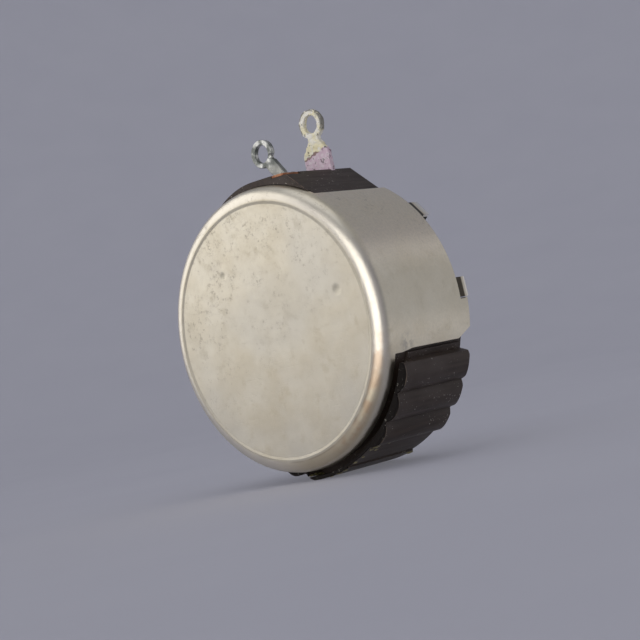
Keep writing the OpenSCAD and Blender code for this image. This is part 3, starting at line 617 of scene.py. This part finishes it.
def make_bushing(material):
    """The bushing with its real thread.

    Rings of vertices run from the staked rim to the tip and back down the bore.
    """
    low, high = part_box("bushing")
    rim_r, rear, tip = high.x / MM, low.y / MM, high.y / MM
    wall = rear + RIM_T
    rings = [(BORE_R, rear, False), (rim_r, rear, False), (rim_r, wall, False),
             (NECK_R, wall, False), (NECK_R, 0.0, False)]
    count = round(tip / THREAD_PITCH * THREAD_STEPS)
    rings += [(MAJOR_R, tip * i / count, True) for i in range(count + 1)]
    rings += [(BORE_R, tip, False)]
    verts = []
    for radius, y, threaded in rings:
        for side in range(THREAD_SIDES):
            angle = 2 * math.pi * side / THREAD_SIDES
            r = thread_radius(y, side / THREAD_SIDES, tip) if threaded else radius
            verts.append(Vector((r * math.sin(angle), y, r * math.cos(angle))) * MM)
    faces = []
    for ring in range(len(rings)):
        first = ring * THREAD_SIDES
        after = (ring + 1) % len(rings) * THREAD_SIDES
        for side in range(THREAD_SIDES):
            beside = (side + 1) % THREAD_SIDES
            faces.append((first + side, first + beside, after + beside, after + side))
    mesh = bpy.data.meshes.new("bushing_threaded")
    mesh.from_pydata([tuple(v) for v in verts], [], faces)
    shape = bmesh.new()
    shape.from_mesh(mesh)
    bmesh.ops.recalc_face_normals(shape, faces=shape.faces)
    shape.to_mesh(mesh)
    shape.free()
    shade_smooth(mesh, math.radians(35))
    obj = new_piece("bushing_threaded", mesh, material)
    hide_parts("bushing")


# Where the resin sits: angle from +Z towards +X in degrees, y from the cover's back, and size.
RESIN_SPOTS = [
    (148.5, 4.5, 0.42), (150.3, 3.9, 0.26), (148.7, 7.2, 0.18), (151.5, 5.3, 0.2),
    (155, 3.6, 0.2), (159, 3.3, 0.24), (164.6, 3.1, 0.26), (168, 3.2, 0.3), (172, 3.1, 0.2),
    (182.6, 3.4, 0.36), (182.6, 4.2, 0.42), (182.6, 5.0, 0.44), (182.0, 5.6, 0.40),
    (164.2, 17.5, 0.45)]
FLECK_LENGTH = 1.7                        # a fleck's length along Y and its thickness outwards,
FLECK_THICKNESS = 0.45                    # as shares of its size


def on_housing(phi, y):
    """The point of the housing's outside at that angle round the shaft, in metres."""
    housing = nodes["housing"]
    outwards = Vector((math.sin(phi), 0, math.cos(phi)))
    to_local = housing.matrix_world.inverted()
    start = (Vector((0, y, 0)) + outwards * 2 * COVER_R) * MM
    hit, place, _, _ = housing.ray_cast(to_local @ start, to_local.to_3x3() @ -outwards)
    return housing.matrix_world @ place if hit else start


def make_resin(material):
    """Flecks of hardened resin flash along the lower edge of the housing."""
    shape = bmesh.new()
    for index, (phi, y, size) in enumerate(RESIN_SPOTS):
        angle = math.radians(phi)
        place = on_housing(angle, BACK + y)
        made = bmesh.ops.create_icosphere(shape, subdivisions=3, radius=size)
        for vertex in made["verts"]:
            co = vertex.co
            ragged = 1 + 0.5 * noise.noise(co * 4 + Vector((index * 3.1, 0, 0)))
            flat = Vector((co.x, co.y * FLECK_LENGTH, co.z * FLECK_THICKNESS)) * ragged
            # the fleck's thin side faces outwards
            vertex.co = place + Matrix.Rotation(angle, 3, "Y") @ flat * MM
    new_piece("resin_flecks", mesh_from(shape, "resin_flecks"), material)


# ---------------------------------------------------------------- stage and light
FLAT_R = 0.30                             # metres: the floor's level disc, then the wall rises
WALL_R = 1.10                             # in one curve
WALL_HEIGHT = 1.0
CURVE_STEPS = 24
STAGE_SIDES = 96


def stage_ring(shape, radius, height):
    """A ring of the floor's vertices, or its one middle vertex."""
    if not radius:
        return [shape.verts.new((0, 0, FLOOR_Z))]
    angles = [2 * math.pi * k / STAGE_SIDES for k in range(STAGE_SIDES)]
    return [shape.verts.new((radius * math.cos(a), radius * math.sin(a), FLOOR_Z + height))
            for a in angles]


def make_stage(material):
    profile = [(0.0, 0.0), (FLAT_R, 0.0)]
    for step in range(1, CURVE_STEPS + 1):
        angle = math.pi / 2 * step / CURVE_STEPS
        profile.append((FLAT_R + (WALL_R - FLAT_R) * math.sin(angle),
                        WALL_HEIGHT * (1 - math.cos(angle))))
    shape = bmesh.new()
    rings = [stage_ring(shape, radius, height) for radius, height in profile]
    for inner, outer in zip(rings, rings[1:]):
        for k in range(STAGE_SIDES):
            after = (k + 1) % STAGE_SIDES
            if len(inner) == 1:
                shape.faces.new((inner[0], outer[k], outer[after]))
            else:
                shape.faces.new((inner[k], outer[k], outer[after], inner[after]))
    floor = bpy.data.objects.new("stage_floor", mesh_from(shape, "stage_floor"))
    bpy.context.scene.collection.objects.link(floor)
    dress(floor, material)
    return floor


# Name, azimuth, elevation, distance, size, radiance and colour of the soft boxes, in degrees
# and metres. The face of the cover mirrors the first, and its rim the second.
SOFT_BOXES = [
    ("soft_left", -60, 26, 0.60, (0.62, 0.60), 0.95, (1.0, 0.985, 0.95)),
    ("soft_camera", 16, 2, 0.62, (0.64, 0.80), 1.45, (1.0, 0.99, 0.97)),
    ("soft_right", 128, 4, 0.70, (0.8, 0.8), 0.27, (1.0, 0.98, 0.94)),
    ("soft_top", 10, 82, 0.70, (0.5, 0.5), 0.5, (1, 1, 1))]
WASH = ("wash", 42, 60, 1.5, (2.4, 2.4), 1.08, (1, 1, 1))
ROOM_COLOUR = (0.78, 0.80, 0.86, 1)
ROOM_STRENGTH = 0.35


def add_light(name, azimuth, elevation, distance, size, radiance, colour):
    """A soft box facing the object; radiance is how bright its surface looks in a mirror."""
    data = bpy.data.lights.new(name, "AREA")
    data.shape = "RECTANGLE"
    data.size, data.size_y = size
    data.energy = radiance * math.pi * size[0] * size[1]
    data.color = colour
    light = bpy.data.objects.new(name, data)
    towards = direction(math.radians(azimuth), math.radians(elevation))
    light.location = towards * distance
    light.rotation_euler = towards.to_track_quat("Z", "Y").to_euler()
    light.visible_camera = False
    bpy.context.scene.collection.objects.link(light)
    return light


def keep_to(light, collection):
    """Lets a light reach, and be blocked by, only what the collection says."""
    light.light_linking.receiver_collection = collection
    light.light_linking.blocker_collection = collection


def make_light(stage):
    world = bpy.data.worlds.new("soft_room")
    world.use_nodes = True
    background = world.node_tree.nodes["Background"]
    background.inputs["Color"].default_value = ROOM_COLOUR
    background.inputs["Strength"].default_value = ROOM_STRENGTH
    bpy.context.scene.world = world
    bpy.context.scene.view_settings.view_transform = "Standard"
    # the backdrop has a light of its own, so that it stays even behind the object
    paper = bpy.data.collections.new("paper")
    paper.objects.link(stage)
    all_but_paper = bpy.data.collections.new("all_but_paper")
    all_but_paper.objects.link(stage)
    all_but_paper.collection_objects[0].light_linking.link_state = "EXCLUDE"
    for box in SOFT_BOXES:
        keep_to(add_light(*box), all_but_paper)
    keep_to(add_light(*WASH), paper)


# ---------------------------------------------------------------- the scene
MATERIALS = {
    "back_cover": nickel_cover(),
    "housing": phenolic(),
    "cover_insulator": laminate("fishpaper", (0.16, 0.15, 0.11), (0.11, 0.10, 0.075)),
    "front_plate": sheet_metal("zinc_steel", (0.66, 0.64, 0.58), (0.58, 0.56, 0.50), 0.34),
    "shaft": turned_metal("shaft_steel", (0.66, 0.65, 0.62), (0.46, 0.45, 0.41), 0.24),
    "shaft_retaining_ring": sheet_metal("spring_steel", (0.30, 0.30, 0.31),
                                        (0.18, 0.17, 0.17), 0.35),
    "terminal_rivets": sheet_metal("rivet_brass", (0.62, 0.52, 0.30), (0.36, 0.29, 0.17), 0.32),
    "thrust_washer": laminate("washer_fibre", (0.30, 0.15, 0.08), (0.20, 0.10, 0.05)),
    "resistance_former": laminate("former_laminate", (0.30, 0.19, 0.09), (0.21, 0.13, 0.06)),
    "resistance_winding": resistance_wire(),
    "end_clip_live": sheet_metal("clip_brass", (0.62, 0.50, 0.26), (0.40, 0.31, 0.16), 0.32),
    "collector_ring": sheet_metal("collector_brass", (0.64, 0.52, 0.28),
                                  (0.42, 0.33, 0.18), 0.30),
    "rotor_hub": phenolic(),
    "contact_arm": sheet_metal("arm_bronze", (0.62, 0.44, 0.25), (0.42, 0.28, 0.16), 0.30),
    "contact_shoe": sheet_metal("shoe_metal", (0.32, 0.27, 0.22), (0.20, 0.17, 0.14), 0.38),
}
SAME_AS = {
    "end_clip_open": "end_clip_live",
    "contact_rivets": "terminal_rivets",
    "collector_spring": "contact_arm",
}
REPLACED = ("lug_end", "lug_wiper", "bushing", "terminal_insulator")

make_camera()
make_light(make_stage(paper_floor()))
for node, material in MATERIALS.items():
    dress(nodes[node], material)
for node, other in SAME_AS.items():
    dress(nodes[node], MATERIALS[other])
make_end_lug(lug_crust())
make_wiper_lug(tinned())
make_fibre(fibre())
make_bushing(turned_metal("bushing_nickel", (0.70, 0.67, 0.58), (0.52, 0.46, 0.34), 0.26))
make_resin(resin())
for node in REPLACED:
    dress(nodes[node], MATERIALS["front_plate"])
